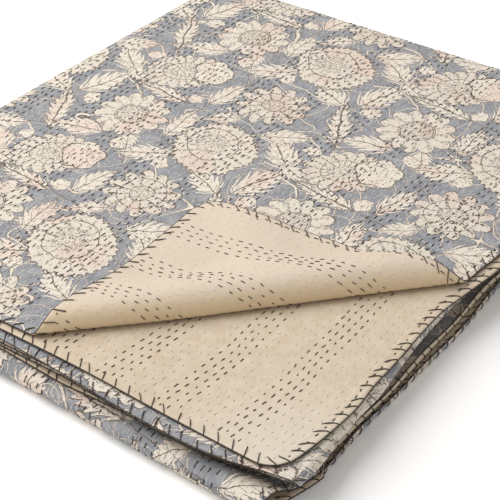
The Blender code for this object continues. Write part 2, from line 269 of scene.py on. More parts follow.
def quiltPoint(u, v):
    past, z = doubled(u, v)
    left, z = foldOver(u, z, uLeft, pile["widthFold"], 2 * pile["pitch"])
    right, over = foldOver(-left, z, -pile["foldRight"], pile["widthFold"], 4 * pile["pitch"])
    left, z = np.where(u > uRight, -right, left), np.where(u > uRight, over, z)
    past, z = foldOver(past, z, 0, pile["backFold"], pile["plies"] / 2 * pile["pitch"])
    front = pile["foldBack"] + past
    rightOut, frontOut = edgeMoves(u, v, left, front)
    x, y = rightOut - left, front - frontOut
    for name, start, end in (("last", vLower, vRoll), ("eleventh", vRollEnd, vBackAgain)):
        inward, upward = curlEdge(u, front, **curl[name])
        here = (v > start) & (v < end)
        x, z = x - here * inward, z + here * upward
    above = z - pile["pitch"] / 2
    lengths = pile["waveLengths"]
    wave = np.sin(2 * np.pi * x / lengths[0] + 1) * np.sin(2 * np.pi * y / lengths[1])
    gap = np.exp(-(((left - pile["gapPlace"]) / pile["gapReach"]) ** 2)) * (1 - smooth(front, 0, pile["gapDepth"]))
    lifted = (u < uSecond) & ((v < vBack) | (v > vUpper)) | (u < uRight) & (v > vUpper)
    z = pile["plyThickness"] / 2 + above * (1 + pile["waveHeight"] * wave)
    z = z + np.where(lifted, pile["gapHeight"] * gap, 0)
    onTop = (u < uLeft) & (v < vBack)
    return np.stack([np.where(onTop, new, old) for new, old in zip(turnCorner(x, y, z), (x, y, z))], axis=-1)


def foldPoints(flat):
    # flat: u, v and the height over the sheet's middle, towards the printed side
    u, v = np.clip(flat[:, 0], 0, uEnd), np.clip(flat[:, 1], 0, vEnd)
    step = 1e-5
    across = quiltPoint(u + step, v) - quiltPoint(u - step, v)
    along = quiltPoint(u, np.minimum(v + step, vEnd)) - quiltPoint(u, np.maximum(v - step, 0))
    across /= np.linalg.norm(across, axis=-1, keepdims=True)
    along /= np.linalg.norm(along, axis=-1, keepdims=True)
    normal = np.cross(along, across)
    normal /= np.linalg.norm(normal, axis=-1, keepdims=True)
    place = quiltPoint(u, v) + flat[:, 2:] * normal
    place += (flat[:, :1] - u[:, None]) * across + (flat[:, 1:2] - v[:, None]) * along
    return place + np.array((pile["sideRight"], pile["sideFront"], 0))


def linked(name, data):
    item = bpy.data.objects.new(name, data)
    bpy.context.scene.collection.objects.link(item)
    return item


def meshFrom(name, shape):
    mesh = bpy.data.meshes.new(name)
    shape.to_mesh(mesh)
    shape.free()
    return mesh


def finished(name, mesh, material):
    mesh.materials.clear()
    mesh.materials.append(material)
    mesh.shade_smooth()
    piece = linked(name, mesh)
    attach(piece, "root")
    return piece


print("folds ready, flat sheet", round(uEnd, 3), "by", round(vEnd, 3), "m")

# Rows of running stitch run along v: four dark rows, then five pale ones
rows = {
    "pitch": 6.1 * mm,
    "firstBand": 51 * mm,  # the middle of the first dark band, from the edge
    "period": 9,
    "dark": 4,
}
firstRow = rows["firstBand"] - (1.5 + rows["period"]) * rows["pitch"]  # a whole band further out, off the cloth

# The two cloths
cloth = {
    "thickness": 1.0 * mm,
    "apart": 0.15 * mm,  # from the sheet's middle to each cloth
    "edgeRound": 2.6 * mm,
    "edgeShare": 0.12,  # how much of its thickness is left at the edge
    "groove": 0.34 * mm,  # how far a row of stitches draws the cloth in
    "pucker": 0.07 * mm,
    "puckerLength": 9.1 * mm,
    "puckerShift": (1.7, 2.4),  # in puckers at most, and in radians from row to row
}

# Where the flat sheet has its grid lines, so that it can bend
grid = {
    "edge": (0, 0.5, 1.3, 2.6),  # these four in mm in from the edge or the fold
    "curl": (4.4, 5.6, 6.8, 8, 9.2, 10.4, 11.6),
    "folded": (22, 45, 80, 120, 160, 200, 245, 290, 345, 400, 450),
    "corner": (21, 16, 11, 6),
    "clear": (0.8 * mm, 1 * mm, 2 * mm, 4 * mm),  # left free past the curl, the left fold, the edge and the back
    "widthFold": 9,  # how many lines across a fold or a hidden ply
    "backFold": 11,
    "hidden": 29,
    "top": 8.6 * mm,  # from line to line
    "roll": 4.5 * mm,
    "second": 10 * mm,
    "secondReach": 280 * mm,
    "far": 40 * mm,
}


def gridLines():
    edge, bends, folded, corner = (np.array(grid[name]) * mm for name in ("edge", "curl", "folded", "corner"))
    pastCurl, toFold, pastEdge, toBack = grid["clear"]
    ridges = np.arange(firstRow, uLeft - toFold, rows["pitch"] / 2)
    ridges = ridges[ridges > bends[-1] + pastCurl]
    fold = pile["widthFold"] * np.linspace(0, 1, grid["widthFold"])
    folded -= pile["foldRight"]
    second, third = uRight - folded[::-1], uThird + folded
    columns = [edge, bends, ridges, uLeft + fold, second, uRight + fold, third, uEnd - corner, uEnd - edge[::-1]]
    topRows = np.arange(edge[-1] + pastEdge, vBack - toBack, grid["top"])
    backFold = pile["backFold"] * np.linspace(0, 1, grid["backFold"])
    lower = np.linspace(vLower, vRoll, grid["hidden"])[1:-1]
    rollRows = vRoll + np.arange(0, roll["cloth"], grid["roll"])
    upper = np.linspace(vRollEnd, vBackAgain, grid["hidden"])[:-1]
    fine = vEnd - np.arange(edge[-1] + pastEdge, grid["secondReach"], grid["second"])[::-1]
    coarse = np.arange(vUpper + grid["far"], fine[0] - grid["far"] / 2, grid["far"])
    lines = [edge, topRows, vBack + backFold, lower, rollRows, upper, vBackAgain + backFold, coarse, fine]
    return np.concatenate(columns), np.concatenate([*lines, vEnd - edge[::-1]])


def roundCorners(u, v):
    radius = pile["cornerRadius"]
    across = np.maximum(radius - np.minimum(u, uEnd - u), 0) / radius
    along = np.maximum(radius - np.minimum(v, vEnd - v), 0) / radius
    length = np.maximum(np.hypot(across, along), 1e-9)
    drawn = np.where((across > 0) & (along > 0), np.maximum(across, along) / length, 1)
    sideU, sideV = np.where(u < uEnd / 2, 1, -1), np.where(v < vEnd / 2, 1, -1)
    return u + sideU * across * (1 - drawn) * radius, v + sideV * along * (1 - drawn) * radius


def edgeDistance(u, v):
    # how far inside the quilt's rounded outline a point lies
    radius = pile["cornerRadius"]
    across = np.maximum(radius - np.minimum(u, uEnd - u), 0)
    along = np.maximum(radius - np.minimum(v, vEnd - v), 0)
    return np.maximum(radius - np.hypot(across, along), 0)


def flatSheet():
    columns, lines = gridLines()
    sheet = bmesh.new()
    bmesh.ops.create_grid(sheet, x_segments=len(columns) - 1, y_segments=len(lines) - 1, size=1)
    for vert in sheet.verts:
        column = round((vert.co.x + 1) / 2 * (len(columns) - 1))
        line = round((vert.co.y + 1) / 2 * (len(lines) - 1))
        vert.co = (columns[column], lines[line], 0)
    flat = np.array([vert.co for vert in sheet.verts])
    for vert, u, v in zip(sheet.verts, *roundCorners(flat[:, 0], flat[:, 1])):
        vert.co = (u, v, 0)
    cutForTheTurn(sheet)
    return sheet


def cutForTheTurn(sheet):
    # cuts along the turned corner's roll, over the top ply alone
    line = np.array(turned["right"]) - np.array(turned["left"])
    across = np.array((line[1], -line[0])) / np.hypot(*line)
    right, front = rightEdges["first"][0] * mm, frontEdges["first"][0] * mm
    for past in turned["cuts"]:
        faces = [f for f in sheet.faces if f.calc_center_bounds().x < uLeft and f.calc_center_bounds().y < vBack]
        geometry = dict.fromkeys(part for f in faces for part in (f, *f.edges, *f.verts))  # each once, in order
        place = np.array(turned["left"]) + across * past * mm
        point, way = (right - place[0], place[1] + front, 0), (-across[0], across[1], 0)
        bmesh.ops.bisect_plane(sheet, geom=list(geometry), dist=1e-5, plane_co=point, plane_no=way)


def clothHeight(u, v):
    # the outer face: rounded down at the quilt's edge and drawn in along each row
    near = np.clip(edgeDistance(u, v) / cloth["edgeRound"], 0, 1)
    share = cloth["edgeShare"]
    full = cloth["thickness"] * (share + (1 - share) * np.sqrt(1 - (1 - near) ** 2))
    row = (u - firstRow) / rows["pitch"]
    groove = np.cos(np.pi * row) ** 2 * cloth["groove"]
    most, turn = cloth["puckerShift"]
    shift = most * np.sin(np.floor(row + 0.5) * turn)
    pucker = cloth["pucker"] * np.sin(2 * np.pi * (v / cloth["puckerLength"] + shift))
    return full - (groove + pucker) * near


def makeCloth(name, flat, side, material):
    shell = flat.copy()
    uvs = shell.loops.layers.uv.new("flat")
    bmesh.ops.solidify(shell, geom=shell.faces[:], thickness=cloth["thickness"])
    # solidify leaves the rim's faces in a chance order
    shell.faces.sort(key=lambda face: face.calc_center_median().dot((1, 1000, 1000000)))
    for face in shell.faces:
        for loop in face.loops:
            loop[uvs].uv = loop.vert.co.xy
    places = np.array([vert.co for vert in shell.verts])
    outer = places[:, 2] > places[:, 2].mean()
    height = cloth["apart"] + np.where(outer, clothHeight(places[:, 0], places[:, 1]), 0)
    places[:, 2] = side * height
    for vert, place in zip(shell.verts, foldPoints(places)):
        vert.co = place
    bmesh.ops.recalc_face_normals(shell, faces=shell.faces[:])
    return finished(name, meshFrom(name, shell), material)


def newMaterial(name, roughness):
    material = bpy.data.materials.new(name)
    material.use_nodes = True
    shader = material.node_tree.nodes["Principled BSDF"]
    shader.inputs["Roughness"].default_value = roughness
    shader.inputs["Specular IOR Level"].default_value = 0.25
    return material, material.node_tree, shader


def feed(tree, value, entry):
    # a Field or a socket is linked, and a number, a vector or a colour is set
    if isinstance(value, Field):
        value = value.socket
    if isinstance(value, bpy.types.NodeSocket):
        tree.links.new(value, entry)
    else:
        entry.default_value = (*value, 1) if entry.type == "RGBA" else value


class Field:
    # a number at each point of the cloth: sums and comparisons add Math nodes
    def __init__(self, tree, socket):
        self.tree, self.socket = tree, socket

    def math(self, operation, *others):
        node = self.tree.nodes.new("ShaderNodeMath")
        node.operation = operation
        for entry, value in zip(node.inputs, (self, *others)):
            feed(self.tree, value, entry)
        return Field(self.tree, node.outputs[0])

    def __add__(self, other):
        return self.math("ADD", other)

    def __sub__(self, other):
        return self.math("SUBTRACT", other)

    def __mul__(self, other):
        return self.math("MULTIPLY", other)

    def __truediv__(self, other):
        return self.math("DIVIDE", other)

    def under(self, other):
        return self.math("LESS_THAN", other)

    def over(self, other):
        return self.math("GREATER_THAN", other)

    def near(self, other, reach):
        return self.math("COMPARE", other, reach)

    def most(self, other):
        return self.math("MAXIMUM", other)

    def fade(self, start, end):
        node = self.tree.nodes.new("ShaderNodeMapRange")
        node.interpolation_type = "SMOOTHSTEP"
        feed(self.tree, self, node.inputs["Value"])
        node.inputs["From Min"].default_value, node.inputs["From Max"].default_value = start, end
        return Field(self.tree, node.outputs["Result"])


def vectorNode(tree, operation, *values):
    node = tree.nodes.new("ShaderNodeVectorMath")
    node.operation = operation
    for entry, value in zip(node.inputs, values):
        feed(tree, value, entry)
    return node


def blend(tree, share, first, second):
    # a colour between two colours or sockets
    node = tree.nodes.new("ShaderNodeMix")
    node.data_type = "RGBA"
    for value, entry in ((share, "Factor"), (first, 6), (second, 7)):
        feed(tree, value, node.inputs[entry])
    return node.outputs[2]


def texture(tree, kind, vector, scale, output, **inputs):
    node = tree.nodes.new(kind)
    for name, value in {"Vector": vector, "Scale": scale, **inputs}.items():
        feed(tree, value, node.inputs[name])
    return Field(tree, node.outputs[output])


def noise(tree, vector, scale, detail, **inputs):
    return texture(tree, "ShaderNodeTexNoise", vector, scale, "Fac", Detail=detail, **inputs)


def patches(tree, vector, scale, detail, start, end):
    # how much a place belongs to soft patches of that scale
    return noise(tree, vector, scale, detail).fade(start, end)


def splitUp(tree, vector):
    split = tree.nodes.new("ShaderNodeSeparateXYZ")
    feed(tree, vector, split.inputs[0])
    return Field(tree, split.outputs["X"]), Field(tree, split.outputs["Y"])


# The print: eight kinds of motif, each drawn about its own middle at a size of one
def motifTree(name):
    tree = bpy.data.node_groups.new(name, "ShaderNodeTree")
    for entry in ("x", "y", "dots", "scribble"):
        tree.interface.new_socket(entry, in_out="INPUT", socket_type="NodeSocketFloat")
    for result in ("cover", "line"):
        tree.interface.new_socket(result, in_out="OUTPUT", socket_type="NodeSocketFloat")
    inputs = tree.nodes.new("NodeGroupInput")
    return tree, [Field(tree, inputs.outputs[index]) for index in range(4)]


def drawn(tree, cover, line):
    output = tree.nodes.new("NodeGroupOutput")
    feed(tree, cover, output.inputs["cover"])
    feed(tree, line, output.inputs["line"])
    return tree


# How a motif's lines are cut, where its own size is one
cutLines = {
    "flowerRim": 0.97,
    "flowerEdge": 1.015,
    "ring": 0.013,
    "stroke": 0.72,  # how much of a wave the gap between two strokes takes
    "breaks": (7, 3, 0.3),  # how often along and round, and how much of each, the strokes break off
    "rib": 0.024,
    "tooth": (0.62, 0.48),
    "vein": (0.07, 0.6),
    "leafRim": 0.03,
    "leafEdge": 0.012,
    "budLobe": 0.16,
    "budRim": 0.93,
    "twig": (0.034, 0.022),  # half of its width, and of the pale middle
    "twigReach": 1.1,
}


def blossom(name, petals, depth, power, rings, rays, heart, hatch, pointed=False, offCentre=0.0):
    tree, (x, y, dots, scribble) = motifTree(name)
    away = (x * x + y * y).math("SQRT")
    aside = x - offCentre
    inside = (aside * aside + y * y).math("SQRT")
    angle = y.math("ARCTAN2", x)
    petal = (angle * (petals / 2)).math("SINE").math("ABSOLUTE").math("POWER", power)
    if pointed:
        petal = petal * -1 + 1
    reach = away / (petal * depth + (1 - depth))
    line = reach.over(cutLines["flowerRim"])
    for ring in rings:
        line = line.most(inside.near(ring, cutLines["ring"]))
    outward, turning, broken = cutLines["breaks"]
    strokes = (angle * (petals * rays)).math("SINE").over(cutLines["stroke"])
    strokes = strokes * (away * outward + angle * turning).math("FRACT").over(broken)
    between = reach.near((heart + 0.9) / 2, (0.9 - heart) / 2)
    inner = inside.under(heart) * dots.most(scribble)
    line = line.most(strokes * between * hatch).most(inner).most(scribble * (hatch * 0.5))
    return drawn(tree, reach.under(cutLines["flowerEdge"]), line)


def leaf(name, teeth, lean, width):
    tree, (x, y, _, _) = motifTree(name)
    aside = y.math("ABSOLUTE")
    along = x * 0.5 + 0.5
    along.socket.node.use_clamp = True
    tooth = (along * teeth - aside * lean).math("FRACT")
    toothed, base = cutLines["tooth"]
    spread = (along.math("POWER", 0.8) * math.pi).math("SINE") * (tooth * toothed + base) * width
    veinWidth, veinReach = cutLines["vein"]
    vein = tooth.near(0.5, veinWidth) * aside.under(spread * veinReach)
    rim = aside.over(spread - cutLines["leafRim"])
    line = aside.under(cutLines["rib"]).most(vein * 0.6).most(rim)
    return drawn(tree, aside.under(spread + cutLines["leafEdge"]), line)


def bud(name):
    tree, (x, y, dots, _) = motifTree(name)
    away = (x * x + y * y).math("SQRT")
    lobe = (y.math("ARCTAN2", x) * 2.5).math("SINE").math("ABSOLUTE")
    reach = away / (lobe * cutLines["budLobe"] + (1 - cutLines["budLobe"]))
    return drawn(tree, reach.under(1), reach.over(cutLines["budRim"]).most(dots))


def twig(name):
    tree, (x, y, _, _) = motifTree(name)
    aside = ((x * x + y * y).math("SQRT") - 1).math("ABSOLUTE")
    window = y.math("ARCTAN2", x).near(0, cutLines["twigReach"])
    width, pale = cutLines["twig"]
    return drawn(tree, aside.under(width) * window, aside.over(pale))


# For a flower: petals, their depth and roundness, its rings, rays a petal, heart, hatching, points, off centre
motifs = {
    "medallion": blossom("medallion", 34, 0.09, 0.8, (0.6,), 0.5, 0.4, 0.7, True, 0.16),
    "fan": blossom("fan", 19, 0.2, 0.7, (0.52,), 1.0, 0.34, 0.9),
    "daisy": blossom("daisy", 13, 0.3, 0.6, (0.44, 0.39), 1.0, 0.36, 0.6),
    "spray": blossom("spray", 12, 0.34, 0.75, (0.3, 0.62), 1.0, 0.28, 1.0),
    "leaf": leaf("leaf", 5.2, 3.0, 0.62),
    "longLeaf": leaf("longLeaf", 8.2, 3.4, 0.3),
    "bud": bud("bud"),
    "twig": twig("twig"),
}

# The repeat, in mm on the cloth: each column stands a step higher than the one at its left
repeat = {
    "width": 235,
    "step": 60,
    "height": 184,
    "strays": ((0.045, 1.0, 4.5), (0.4, 1.0, 0.9)),  # how the hand-cut lines stray: scale per mm, detail, mm
    "motifs": (  # kind, x, y, degrees turned, half its length, half its width
        ("twig", 112, 118, 200, 44, 40),
        ("twig", 30, 98, 20, 52, 40),
        ("twig", 215, 60, 120, 40, 46),
        ("twig", 205, 176, 300, 46, 34),
        ("twig", 100, 20, 80, 34, 40),
        ("twig", 140, 96, 250, 56, 36),
        ("twig", 238, 128, 170, 36, 42),
        ("longLeaf", 225, 22, 62, 42, 42),
        ("leaf", 222, 84, 108, 30, 30),
        ("leaf", 236, 132, 40, 29, 28),
        ("leaf", 110, 62, 84, 26, 24),
        ("leaf", 104, 4, -28, 27, 27),
        ("longLeaf", 166, 98, 6, 37, 38),
        ("leaf", 108, 128, 100, 24, 24),
        ("leaf", 14, 98, 150, 25, 25),
        ("leaf", 186, 189, -14, 27, 25),
        ("leaf", 28, 182, 24, 24, 26),
        ("leaf", 84, 92, -40, 17, 19),
        ("leaf", 206, 112, 200, 18, 19),
        ("leaf", 129, 12, 240, 16, 18),
        ("bud", 128, 105, 20, 10, 9),
        ("bud", 212, 52, 60, 10, 11),
        ("bud", 80, 184, 0, 9, 10),
        ("bud", 216, 152, 0, 10, 8),
        ("bud", 134, 188, 30, 11, 8),
        ("spray", 60, 136, 15, 38, 35),
        ("daisy", 160, 50, 40, 39, 37),
        ("fan", 172, 140, -25, 40, 34),
        ("bud", 146, 154, 40, 25, 22),
        ("medallion", 56, 45, 35, 47, 40),
    ),
}

# Sizes are in mm and scales per mm
printLook = {
    "roughness": 0.85,
    "ground": (0.240, 0.247, 0.270),
    "groundLight": (0.440, 0.440, 0.450),
    "cream": (0.735, 0.662, 0.570),
    "creamPink": (0.715, 0.590, 0.505),
    "creamGreen": (0.715, 0.665, 0.560),
    "line": (0.115, 0.090, 0.078),
    "lineShare": 0.92,
    "dots": (0.42, 0.3),  # scale, size
    "scribble": (0.16, 9, 0.13),  # scale, lines, half width
    "stems": ((0.014, 7, 0.024, 0.042), (0.024, 5, 0.016, 0.030)),  # scale, lines, half width of the pale, of all
    "wear": (0.5, 3.0, 0.3, 0.46),  # scale, detail, the noise where it starts, and where it is whole
    "slub": (0.9, 2.0, 0.48, 0.72),
    "slubStretch": (1.0, 0.12, 1.0),
    "cloud": (0.07, 3.0, 0.42, 0.66),
    "cloudShare": 0.45,
    "tint": (0.025, 1.0),
    "pink": (0.52, 0.66),
    "green": (0.45, 0.32),
    "bump": 0.25,
}


def placeMotif(tree, lattice, masks, row):
    # the motif's own x and y, from the place in the repeat
    kind, middleX, middleY, turn, long, wide = row
    width, step, height = repeat["width"], repeat["step"], repeat["height"]
    across = middleX / width
    middle = (across, (middleY - across * step) / height, 0)
    wrapped = vectorNode(tree, "WRAP", lattice, [c + 0.5 for c in middle], [c - 0.5 for c in middle]).outputs[0]
    ways = (math.cos(math.radians(turn)), math.sin(math.radians(turn)))
    group = tree.nodes.new("ShaderNodeGroup")
    group.node_tree = motifs[kind]
    for entry, (wayX, wayY), size in (("x", ways, long), ("y", (-ways[1], ways[0]), wide)):
        toward = ((wayX * width + wayY * step) / size, wayY * height / size, 0)
        dot = Field(tree, vectorNode(tree, "DOT_PRODUCT", wrapped, toward).outputs["Value"])
        local = dot - (toward[0] * middle[0] + toward[1] * middle[1])
        feed(tree, local, group.inputs[entry])
    for name, mask in masks.items():
        feed(tree, mask, group.inputs[name])
    return Field(tree, group.outputs["cover"]), Field(tree, group.outputs["line"])


def flatPlace(tree):
    # u and v in mm
    uv = tree.nodes.new("ShaderNodeUVMap")
    uv.uv_map = "flat"
    return vectorNode(tree, "MULTIPLY", uv.outputs["UV"], (1000, 1000, 0)).outputs[0]


weaving = {
    "thread": 0.62,  # mm from thread to thread
    "threadShare": 0.12,
    "crumple": 0.09,
    "height": 1.4 * mm,
}


def weave(tree, place, shader, strength):
    # fine threads both ways, for colour and bump
    turn = 2 * math.pi / weaving["thread"]
    threads = [(way * turn).math("SINE") * 0.5 + 0.5 for way in splitUp(tree, place)]
    crumple = noise(tree, place, weaving["crumple"], 4.0)
    height = threads[0].most(threads[1]) * weaving["threadShare"] + crumple
    bump = tree.nodes.new("ShaderNodeBump")
    bump.inputs["Strength"].default_value = strength
    bump.inputs["Distance"].default_value = weaving["height"]
    feed(tree, height, bump.inputs["Height"])
    feed(tree, bump.outputs["Normal"], shader.inputs["Normal"])
    return crumple


def stems(tree, place):
    # winding stems, as pale bands with dark sides
    cover, line = None, None
    for scale, count, pale, dark in printLook["stems"]:
        winding = noise(tree, place, scale, 0.6, Distortion=0.3)
        stem = ((winding * count).math("FRACT") - 0.5).math("ABSOLUTE")
        side, whole = stem.over(pale), stem.under(dark)
        line = side if line is None else line + (side - line) * whole
        cover = whole if cover is None else cover.most(whole)
    return cover, line


def printedCotton():
    material, tree, shader = newMaterial("printedCotton", printLook["roughness"])
    place = flatPlace(tree)
    wandering = place
    for scale, detail, reach in repeat["strays"]:
        stray = texture(tree, "ShaderNodeTexNoise", place, scale, "Color", Detail=detail)
        centred = vectorNode(tree, "SUBTRACT", stray, (0.5, 0.5, 0.5)).outputs[0]
        moved = vectorNode(tree, "SCALE", centred)
        moved.inputs["Scale"].default_value = 2 * reach
        wandering = vectorNode(tree, "ADD", wandering, moved.outputs[0]).outputs[0]
    x, y = splitUp(tree, wandering)
    across = x / repeat["width"]
    up = (y - across * repeat["step"]) / repeat["height"]
    joined = tree.nodes.new("ShaderNodeCombineXYZ")
    feed(tree, across, joined.inputs["X"])
    feed(tree, up, joined.inputs["Y"])
    lattice = joined.outputs[0]

    scale, size = printLook["dots"]
    masks = {"dots": texture(tree, "ShaderNodeTexVoronoi", place, scale, "Distance").under(size)}
    scale, count, width = printLook["scribble"]
    masks["scribble"] = (noise(tree, place, scale, 1.0) * count).math("FRACT").near(0.5, width)
    cover, line = stems(tree, place)
    for row in repeat["motifs"]:
        over, drawing = placeMotif(tree, lattice, masks, row)
        line = line + (drawing - line) * over
        cover = cover.most(over)

    # worn, uneven ink, and threads of a paler blue in the ground
    line = line * patches(tree, place, *printLook["wear"])
    streaks = vectorNode(tree, "MULTIPLY", place, printLook["slubStretch"]).outputs[0]
    slub = patches(tree, streaks, *printLook["slub"])
    cloud = patches(tree, place, *printLook["cloud"]) * printLook["cloudShare"]
    ground = blend(tree, slub.most(cloud), printLook["ground"], printLook["groundLight"])
    tint = noise(tree, place, *printLook["tint"])
    cream = blend(tree, tint.fade(*printLook["pink"]), printLook["cream"], printLook["creamPink"])
    cream = blend(tree, tint.fade(*printLook["green"]), cream, printLook["creamGreen"])
    ink = blend(tree, line * printLook["lineShare"], cream, printLook["line"])
    feed(tree, blend(tree, cover, ground, ink), shader.inputs["Base Color"])
    weave(tree, place, shader, printLook["bump"])
    return material


plainLook = {
    "roughness": 0.85,
    "cream": (0.580, 0.478, 0.360),
    "light": (0.628, 0.530, 0.412),
    "lightFrom": (0.38, 0.66),
    "pale": (0.650, 0.548, 0.440),  # painted light: the turned corner is made lighter, standing in for the light that falls on it
    "paintedLightFrom": (600, 300),  # mm along the quilt, from where it starts to where it is whole
    "paintedRollShade": (0.715, 0.572, 0.382),  # painted shade: and its roll gets the warm tone of a shaded fold
    "rollLine": (233, 256),  # mm along the front and the side to the line that it turns on
    "rollWidth": 27,
    "lighterCorner": (0.690, 0.615, 0.525),  # lighter towards the second ply's near corner
    "lighterCornerReach": 130,
    "lighterCornerShare": 0.8,
    "slubColour": (0.780, 0.700, 0.570),
    "slub": (0.8, 1.0, 0.62, 0.72),
    "slubStretch": (1.0, 0.16, 1.0),
    "slubShare": 0.35,
    "bump": 0.3,
}


def plainCotton():
    material, tree, shader = newMaterial("plainCotton", plainLook["roughness"])
    place = flatPlace(tree)
    crumple = weave(tree, place, shader, plainLook["bump"])
    colour = blend(tree, crumple.fade(*plainLook["lightFrom"]), plainLook["cream"], plainLook["light"])
    u, v = splitUp(tree, place)
    # painted light: the top ply's turned corner is made lighter
    colour = blend(tree, v.fade(*plainLook["paintedLightFrom"]), colour, plainLook["pale"])
    # painted shade: a warm, shaded tone along the roll of the turned corner
    ends, width = plainLook["rollLine"], plainLook["rollWidth"]
    past = (u * (-1 / ends[0]) + v * (-1 / ends[1]) + 1) / math.hypot(1 / ends[0], 1 / ends[1])
    paintedRollShadeMask = past.fade(-width, 0) * past.fade(width, width / 3)
    colour = blend(tree, paintedRollShadeMask, colour, plainLook["paintedRollShade"])
    # lighter towards the second ply's near corner
    aside = v - vEnd / mm
    fromCorner = (u * u + aside * aside).math("SQRT")
    lighterCorner = fromCorner.fade(plainLook["lighterCornerReach"], 0) * plainLook["lighterCornerShare"]
    colour = blend(tree, lighterCorner, colour, plainLook["lighterCorner"])
    streaks = vectorNode(tree, "MULTIPLY", place, plainLook["slubStretch"]).outputs[0]
    slub = patches(tree, streaks, *plainLook["slub"]) * plainLook["slubShare"]
    colour = blend(tree, slub, colour, plainLook["slubColour"])
    feed(tree, colour, shader.inputs["Base Color"])
    return material


threadLook = {
    "dark": ((0.036, 0.029, 0.023), (0.090, 0.072, 0.057)),
    "pale": ((0.66, 0.60, 0.50), (0.79, 0.73, 0.63)),
    "twist": (900, 1.0, 0.35, 0.65),  # here the scale is per m
    "roughness": 0.75,
    "sides": 4,
}


def threadMaterial(name, colours):
    material, tree, shader = newMaterial(name, threadLook["roughness"])
    coordinates = tree.nodes.new("ShaderNodeTexCoord")
    twist = patches(tree, coordinates.outputs["Object"], *threadLook["twist"])
    feed(tree, blend(tree, twist, *colours), shader.inputs["Base Color"])
    return material


printed = printedCotton()
plain = plainCotton()
print("print drawn from", len(repeat["motifs"]), "motifs")

flatQuilt = flatSheet()
printedFace = makeCloth("quiltFace", flatQuilt, 1, printed)
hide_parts("printed_face")
plainBack = makeCloth("quiltBack", flatQuilt, -1, plain)
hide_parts("plain_back")
flatQuilt.free()
print("cloths folded,", 2 * len(printedFace.data.polygons), "triangles or so each")

# Threads: a stitch is modelled once, scattered flat in u and v, then folded with the cloth
darkThread = threadMaterial("darkThread", threadLook["dark"])
paleThread = threadMaterial("paleThread", threadLook["pale"])

running = {
    "pitch": 9.5 * mm,
    "dark": (5.2 * mm, 0.42 * mm),  # length, radius
    "pale": (4.2 * mm, 0.33 * mm),
    "bends": (0.14, 0.86),  # where a stitch goes down into the cloth
    "sink": 0.9,  # how far its ends go down, in radii
    "rise": 0.6,  # how far its middle lies over the cloth, in radii
    "sizes": (0.72, 1.12),
    "backSizes": (0.5, 0.8, 0.95, 0.95),  # on the plain side they are also shorter
    "stray": 0.4 * mm,
    "wobble": 0.5 * mm,
    "wobbleLength": 21 * mm,  # in a radian
    "turn": 0.1,
    "clear": 4 * mm,  # no stitch is nearer to the quilt's edge
    "edgeBand": 22 * mm,  # how far in from an edge stitches show between two plies
    "turnedPart": (262 * mm, 275 * mm),
    "secondPart": 285 * mm,
    "mostRows": 400,
    "seed": 5,
}
band, turnedPart, secondPart = (running[name] for name in ("edgeBand", "turnedPart", "secondPart"))

# Where running stitches are sewn, because they show: the printed side (1) or the plain (-1), u to u, v to v
shown = (
    (1, 0, uLeft, 0, vBack),  # the top
    (1, uLeft, uSecond, 0, vEnd),  # the left fold
    (1, uRight, uThird, 0, vEnd),  # the fold at the right
    (1, 0, uLeft, vRoll, vRollEnd),  # the front roll
    (1, 0, uLeft, vBack, vLower),  # the back
    (1, uSecond, uEnd, 0, band),  # the front edges of the other two thirds
    (1, uSecond, uEnd, vEnd - band, vEnd),
    (-1, 0, turnedPart[0], 0, turnedPart[1]),  # the turned corner
    (-1, 0, secondPart, vEnd - secondPart, vEnd),  # the second ply's near corner
    (-1, uSecond, uEnd, 0, band),
    (-1, uSecond, uEnd, vEnd - band, vEnd),
    (-1, 0, band, vLower, vBackAgain),  # the curled edges
)


def threadTube(radius, start, end, cutShares):
    # a thread along y, cut across at the given shares of its length
    sides = threadLook["sides"]
    tube = bmesh.new()
    lie = Matrix.Translation((0, (start + end) / 2, 0)) @ Matrix.Rotation(math.radians(90), 4, "X")
    twist = Matrix.Rotation(math.pi / sides, 4, "Z")
    bmesh.ops.create_cone(
        tube, cap_ends=True, segments=sides, radius1=radius, radius2=radius, depth=end - start, matrix=lie @ twist
    )
    for share in cutShares:
        place = start + (end - start) * share
        everything = tube.verts[:] + tube.edges[:] + tube.faces[:]
        bmesh.ops.bisect_plane(tube, geom=everything, dist=1e-6, plane_co=(0, place, 0), plane_no=(0, 1, 0))
    return tube


